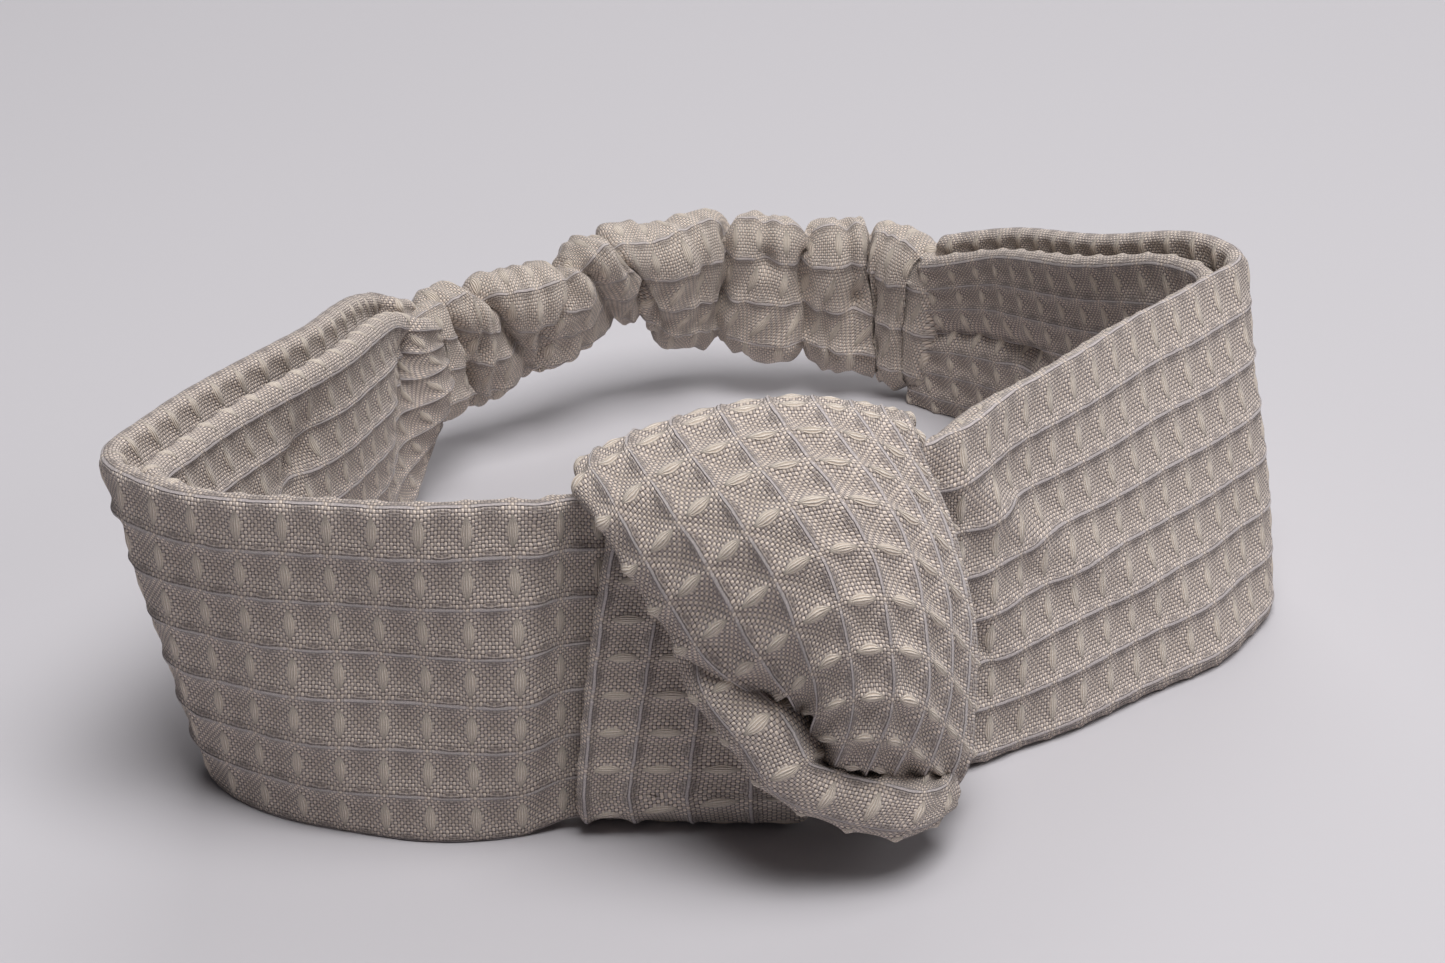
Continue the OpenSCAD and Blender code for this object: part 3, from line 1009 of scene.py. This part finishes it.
class NodeBench:
    """A material's node tree, with short calls that each add a node and give its output."""

    def __init__(self, name: str) -> None:
        """Starts a material.

        Args:
            name: The material's name.
        """
        self.material = bpy.data.materials.new(name)
        self.material.use_nodes = True
        self.tree = self.material.node_tree
        self.shader = self.tree.nodes["Principled BSDF"]

    def put(self, socket: bpy.types.NodeSocket, value: object) -> None:
        """Links an output to a socket, or sets the socket where the value is plain."""
        if isinstance(value, bpy.types.NodeSocket):
            self.tree.links.new(value, socket)
        else:
            socket.default_value = value

    def math(self, kind: str, a: object, b: object = 0.0, c: object = 0.0) -> bpy.types.NodeSocket:
        """A Math node of one kind on up to three values, giving its result."""
        node = self.tree.nodes.new("ShaderNodeMath")
        node.operation = kind
        for socket, value in zip(node.inputs, (a, b, c)):
            self.put(socket, value)
        return node.outputs[0]

    def step(self, value: object, low: float, high: float) -> bpy.types.NodeSocket:
        """A smooth step from 0 at low to 1 at high, or down where high is the lower one."""
        node = self.tree.nodes.new("ShaderNodeMapRange")
        node.interpolation_type = "SMOOTHSTEP"
        flip = high < low
        for name, x in (
            ("Value", value),
            ("From Min", min(low, high)),
            ("From Max", max(low, high)),
            ("To Min", 1.0 if flip else 0.0),
            ("To Max", 0.0 if flip else 1.0),
        ):
            self.put(node.inputs[name], x)
        return node.outputs["Result"]

    def mix(self, share: object, a: object, b: object, kind: str = "MIX") -> bpy.types.NodeSocket:
        """A colour mixed from a to b by a share."""
        node = self.tree.nodes.new("ShaderNodeMix")
        node.data_type = "RGBA"
        node.blend_type = kind
        self.put(node.inputs["Factor"], share)
        for name, colour in (("A", a), ("B", b)):
            socket = [x for x in node.inputs if x.name == name and x.type == "RGBA"][0]
            self.put(socket, (*colour, 1.0) if isinstance(colour, tuple) else colour)
        return [x for x in node.outputs if x.type == "RGBA"][0]

    def noise(self, where: object, scale: float, detail: float = 3.0) -> bpy.types.NodeSocket:
        """Soft noise of 0 to 1 at a scale."""
        node = self.tree.nodes.new("ShaderNodeTexNoise")
        self.put(node.inputs["Vector"], where)
        self.put(node.inputs["Scale"], scale)
        self.put(node.inputs["Detail"], detail)
        return node.outputs["Fac"]

    def places(self) -> bpy.types.NodeSocket:
        """The piece's own object coordinates."""
        return self.tree.nodes.new("ShaderNodeTexCoord").outputs["Object"]

    def bump(self, height: object, distance: float, strength: float = 1.0) -> None:
        """Gives the shader a bump of a height field.

        Args:
            height: Heights of about 0 to 1.
            distance: What a height of 1 measures, in metres.
            strength: Share of the bump that shows.
        """
        node = self.tree.nodes.new("ShaderNodeBump")
        self.put(node.inputs["Height"], height)
        self.put(node.inputs["Distance"], distance)
        self.put(node.inputs["Strength"], strength)
        self.put(self.shader.inputs["Normal"], node.outputs["Normal"])


@dataclass(frozen=True)
class WaffleFinish:
    """Colours and yarns of the waffle cloth: cream warp over grey weft."""

    name: str = "waffle_cloth"
    cream: Colour = linear(250, 233, 219)
    grey: Colour = linear(194, 182, 178)
    brown: Colour = linear(72, 58, 51)
    bright: Colour = linear(255, 243, 230)
    line: Colour = linear(220, 211, 213)
    line_shade: Colour = linear(176, 168, 168)
    float_gap: Colour = linear(86, 74, 68)
    spindle_gap: Colour = linear(212, 194, 176)
    # Painted shade: the dark band just under each weft line, on the lower slope of its ridge.
    under: Colour = linear(120, 108, 100)
    # Painted shade for the pits of the weave.
    painted_pit_shade: Colour = linear(140, 128, 118)
    yarns: float = 14.0
    roughness: float = 0.92
    yarn_depth: float = 0.0003

    def material(self) -> bpy.types.Material:
        """The finish as nodes on the piece's weave map.

        With p and q as the place in cells: the spindle is a lens round p whole and q half, with a faint dark
        rim, whose threads bow with it. The grey floats fill a kite round p half and q whole, one thread to
        each yarn of q, and the middle one is the light line, with a band of painted shade under it. Elsewhere
        cream and grey dots alternate as the product of two cosines, with dark gaps between them, and cream
        runs along the diagonals. The pits are darkened with painted shade.

        Returns:
            The material.
        """
        b = NodeBench(self.name)
        uv = b.tree.nodes.new("ShaderNodeUVMap")
        uv.uv_map = "weave"
        cut = b.tree.nodes.new("ShaderNodeSeparateXYZ")
        b.put(cut.inputs[0], uv.outputs[0])
        stray = b.math("MULTIPLY_ADD", b.noise(uv.outputs[0], 1.7), 0.06, -0.03)
        shiver = b.math("MULTIPLY_ADD", b.noise(uv.outputs[0], 9.0), 0.02, -0.01)
        p = b.math("ADD", b.math("ADD", cut.outputs[0], stray), shiver)
        q = b.math("SUBTRACT", b.math("ADD", cut.outputs[1], stray), shiver)
        dp, dq = b.math("PINGPONG", p, 0.5), b.math("PINGPONG", q, 0.5)
        hp, hq = b.math("SUBTRACT", 0.5, dp), b.math("SUBTRACT", 0.5, dq)
        tau = 2 * math.pi

        squared = b.math("POWER", b.math("DIVIDE", hq, 0.37), 2.0)
        swell = b.math("POWER", b.math("MAXIMUM", b.math("SUBTRACT", 1.0, squared), 0.02), 1.5)
        bowed = b.math("DIVIDE", dp, b.math("MULTIPLY", swell, 0.14))
        spindle = b.math("MULTIPLY", b.step(bowed, 1.25, 0.55), b.step(hq, 0.37, 0.25))
        thread = b.math("COSINE", b.math("MULTIPLY", bowed, tau * 2.5))
        warp_thread = b.math("MULTIPLY_ADD", thread, 0.5, 0.5)

        arc = b.math("MULTIPLY_ADD", b.math("MULTIPLY", hp, hp), -0.5, dq)
        floats = b.step(b.math("SUBTRACT", b.math("MULTIPLY_ADD", dq, -1.5, 0.34), hp), 0.0, 0.08)
        row = b.math("COSINE", b.math("MULTIPLY", arc, tau * self.yarns * 1.4))
        weft_thread = b.math("MULTIPLY_ADD", row, 0.5, 0.5)
        line = b.math("MULTIPLY", b.step(dq, 0.045, 0.02), b.step(hp, 0.46, 0.36))
        twist = b.math("COSINE", b.math("MULTIPLY", b.math("MULTIPLY_ADD", q, 2.6, p), tau * self.yarns))

        across = b.math("COSINE", b.math("MULTIPLY", p, math.pi * self.yarns))
        up = b.math("COSINE", b.math("MULTIPLY", q, math.pi * self.yarns))
        check = b.math("MULTIPLY", across, up)
        diagonal = b.step(b.math("ABSOLUTE", b.math("SUBTRACT", dp, dq)), 0.08, 0.02)

        plain = b.mix(b.step(check, 0.0, -0.35), self.brown, self.grey)
        plain = b.mix(b.step(check, 0.0, 0.3), plain, self.cream)
        plain = b.mix(b.math("MULTIPLY", diagonal, 0.22), plain, self.cream)
        weft = b.mix(weft_thread, self.float_gap, self.grey)
        warp = b.mix(warp_thread, self.spindle_gap, self.bright)
        colour = b.mix(b.math("MULTIPLY", floats, 0.62), plain, weft)
        strand = b.mix(b.math("MULTIPLY_ADD", twist, 0.35, 0.5), self.line_shade, self.line)
        colour = b.mix(b.math("MULTIPLY", line, 0.7), colour, strand)
        # Painted shade: a darker band just under each weft line, on the lower slope of its ridge.
        signed = b.math("SUBTRACT", b.math("FRACT", b.math("ADD", q, 0.5)), 0.5)
        under = b.math("MULTIPLY", b.step(signed, -0.3, -0.06), b.step(signed, 0.0, -0.03))
        colour = b.mix(b.math("MULTIPLY", under, 0.32), colour, self.under, "MULTIPLY")
        rim = b.math("MULTIPLY", b.step(bowed, 1.7, 1.1), b.step(hq, 0.34, 0.24))
        colour = b.mix(b.math("MULTIPLY", rim, 0.18), colour, self.brown)
        colour = b.mix(b.math("MULTIPLY", spindle, 0.9), colour, warp)
        # Painted shade: each pit is darkened towards the middle of its cell.
        pit = b.step(b.math("MINIMUM", dp, dq), 0.1, 0.5)
        colour = b.mix(b.math("MULTIPLY", pit, 0.25), colour, self.painted_pit_shade, "MULTIPLY")
        fibre = b.noise(uv.outputs[0], 70.0, 2.0)
        colour = b.mix(b.step(fibre, 0.7, 0.3), colour, b.mix(0.25, colour, self.brown))
        b.put(b.shader.inputs["Base Color"], colour)

        dome = b.math("MULTIPLY", b.math("POWER", b.math("ABSOLUTE", check), 0.6), 0.55)
        relief = b.math("MAXIMUM", dome, b.math("MULTIPLY", floats, b.math("MULTIPLY", weft_thread, 0.6)))
        relief = b.math("MAXIMUM", relief, b.math("MULTIPLY", line, 0.9))
        raised = b.math("MULTIPLY", spindle, b.math("MULTIPLY_ADD", warp_thread, 0.5, 0.7))
        relief = b.math("MAXIMUM", relief, raised)
        relief = b.math("MULTIPLY_ADD", fibre, 0.2, relief)
        b.bump(relief, self.yarn_depth)
        b.put(b.shader.inputs["Roughness"], self.roughness)
        b.put(b.shader.inputs["Specular IOR Level"], 0.15)
        b.put(b.shader.inputs["Sheen Weight"], 0.2)
        b.put(b.shader.inputs["Sheen Roughness"], 0.6)
        return b.material


@dataclass(frozen=True)
class ThreadFinish:
    """Matt sewing thread with a fine twist."""

    name: str = "sewing_thread"
    colour: Colour = linear(150, 146, 142)
    shade: Colour = linear(112, 108, 104)
    twist_scale: float = 900.0
    fibre_scale: float = 600.0

    def material(self) -> bpy.types.Material:
        """The finish as nodes: slanted fine bands for the twist, with noise in their colour.

        Returns:
            The material.
        """
        b = NodeBench(self.name)
        where = b.places()
        wave = b.tree.nodes.new("ShaderNodeTexWave")
        wave.bands_direction = "DIAGONAL"
        b.put(wave.inputs["Vector"], where)
        b.put(wave.inputs["Scale"], self.twist_scale)
        b.put(wave.inputs["Distortion"], 1.5)
        bands = b.math("MULTIPLY", wave.outputs["Fac"], 0.6)
        tone = b.math("MULTIPLY_ADD", b.noise(where, self.fibre_scale), 0.4, bands)
        b.put(b.shader.inputs["Base Color"], b.mix(tone, self.shade, self.colour))
        b.bump(wave.outputs["Fac"], 0.00005)
        b.put(b.shader.inputs["Roughness"], 0.8)
        b.put(b.shader.inputs["Specular IOR Level"], 0.25)
        return b.material


@dataclass(frozen=True)
class ElasticFinish:
    """White flat elastic: ribs along its length, crossed by a fine weave."""

    name: str = "woven_elastic"
    white: Colour = linear(232, 230, 224)
    shade: Colour = linear(188, 185, 178)
    rib: float = 0.0016
    fine_scale: float = 1400.0

    def material(self) -> bpy.types.Material:
        """The finish as nodes: ribs as a cosine of height, with fine noise.

        Returns:
            The material.
        """
        b = NodeBench(self.name)
        where = b.places()
        cut = b.tree.nodes.new("ShaderNodeSeparateXYZ")
        b.put(cut.inputs[0], where)
        turn = b.math("MULTIPLY", cut.outputs[2], 2 * math.pi / self.rib)
        rib = b.math("MULTIPLY_ADD", b.math("COSINE", turn), 0.5, 0.5)
        fine = b.noise(where, self.fine_scale)
        tone = b.math("MULTIPLY_ADD", fine, 0.4, b.math("MULTIPLY", rib, 0.6))
        b.put(b.shader.inputs["Base Color"], b.mix(tone, self.shade, self.white))
        b.bump(tone, 0.00015)
        b.put(b.shader.inputs["Roughness"], 0.7)
        return b.material


@dataclass(frozen=True)
class TableFinish:
    """A plain pale table with the least mottling."""

    name: str = "pale_table"
    colour: Colour = linear(194, 191, 195)
    shade: Colour = linear(191, 188, 192)

    def material(self) -> bpy.types.Material:
        """The finish as nodes: two near colours mixed by broad noise.

        Returns:
            The material.
        """
        b = NodeBench(self.name)
        tone = b.noise(b.places(), 3.0, 2.0)
        b.put(b.shader.inputs["Base Color"], b.mix(tone, self.shade, self.colour))
        b.put(b.shader.inputs["Roughness"], 0.75)
        b.put(b.shader.inputs["Specular IOR Level"], 0.2)
        return b.material


def dress(piece: bpy.types.Object, material: bpy.types.Material) -> None:
    """Puts a finish on a piece and logs its face count.

    Args:
        piece: A new piece, or a CAD node that stays in view.
        material: Its finish.
    """
    piece.data.materials.clear()
    piece.data.materials.append(material)
    LOG.info("%s: %d faces, %s", piece.name, len(piece.data.polygons), material.name)


# ---------------------------------------------------------------------------------------------- studio
@dataclass(frozen=True)
class Lamp:
    """A square soft lamp that faces the object: its place, the length of its side and its power in watts."""

    name: str
    at: tuple[float, float, float]
    size: float
    power: float

    def hang(self) -> None:
        """Hangs the lamp."""
        light = bpy.data.lights.new(self.name, "AREA")
        light.shape = "SQUARE"
        light.size = self.size
        light.energy = self.power
        lamp = bpy.data.objects.new(self.name, light)
        lamp.location = self.at
        lamp.rotation_euler = (LAMP_AIM - Vector(self.at)).to_track_quat("-Z", "Y").to_euler()
        bpy.context.scene.collection.objects.link(lamp)


LAMP_AIM = Vector((0, 0, 0.02))
LAMPS = (
    Lamp("window_above", (0.2, -0.4, 1.3), 0.8, 20.0),
    Lamp("window_behind", (0.1, 1.2, 0.9), 1.0, 8.0),
    Lamp("fill_right", (1.3, 0.1, 0.6), 0.7, 3.0),
)


@dataclass
class Studio:
    """A pale table, soft light from above, behind and the right, and the camera."""

    eye: tuple[float, float, float] = (-0.0021, -0.4625, 0.230)
    pitch: float = 24.4
    lens: float = 79.72
    sky: Colour = linear(230, 228, 234)
    sky_strength: float = 0.08
    table_half: float = 3.0

    def lay_table(self) -> None:
        """Lays a broad flat table under the object."""
        half = self.table_half
        mesh = bpy.data.meshes.new("table")
        corners = [(-half, -half, 0), (half, -half, 0), (half, half, 0), (-half, half, 0)]
        mesh.from_pydata(corners, [], [(0, 1, 2, 3)])
        mesh.materials.append(TableFinish().material())
        table = bpy.data.objects.new("table", mesh)
        bpy.context.scene.collection.objects.link(table)

    def set_up(self) -> None:
        """Lights the room, lays the table and sets the camera."""
        scene = bpy.context.scene
        world = bpy.data.worlds.new("room")
        world.use_nodes = True
        world.node_tree.nodes["Background"].inputs["Color"].default_value = (*self.sky, 1.0)
        world.node_tree.nodes["Background"].inputs["Strength"].default_value = self.sky_strength
        scene.world = world
        scene.view_settings.view_transform = "Standard"
        self.lay_table()
        for lamp in LAMPS:
            lamp.hang()
        lens = bpy.data.cameras.new("camera")
        lens.lens = self.lens
        lens.sensor_width = 36.0
        lens.clip_start = 0.01
        camera = bpy.data.objects.new("camera", lens)
        camera.location = self.eye
        camera.rotation_euler = (math.radians(90 - self.pitch), 0, 0)
        scene.collection.objects.link(camera)
        scene.camera = camera


# ---------------------------------------------------------------------------------------------- build
# A lighter copy of the waffle cloth for the casing, with paler brown, grey and float gaps: painted light on
# the casing.
CASING_CLOTH_PAINTED_LIGHTER = WaffleFinish(
    name="gathered_cloth",
    brown=linear(112, 98, 87),
    grey=linear(208, 197, 190),
    float_gap=linear(120, 106, 98),
)


def main() -> None:
    """Builds the headband and its studio, in order."""
    logging.basicConfig(level=logging.INFO, format="%(name)s: %(message)s")
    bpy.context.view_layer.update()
    cloth = WaffleFinish().material()
    # The casing's lighter copy of the cloth: painted light.
    gathered = CASING_CLOTH_PAINTED_LIGHTER.material()
    thread = ThreadFinish().material()

    for side in Side:
        strip = Strip(side, FOLDS[side])
        for layer in Layer:
            dress(strip.make_ply(layer, phase=(0.4, 0.91)), cloth)
        dress(StripSeam(side).make(), thread)
    dress(UprightBend().make(), cloth)
    knot = DiagonalBend()
    dress(knot.make_lobe(), cloth)
    dress(knot.make_lip(), cloth)
    dress(RuchedCasing().make(), gathered)

    dress(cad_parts["flat_elastic"], ElasticFinish().material())
    for name in (
        "casing_seam_thread",
        "left_join_seam_thread",
        "right_join_seam_thread",
        "left_elastic_tack",
        "right_elastic_tack",
    ):
        dress(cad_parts[name], thread)
    Studio().set_up()


if __name__ == "__main__":
    main()
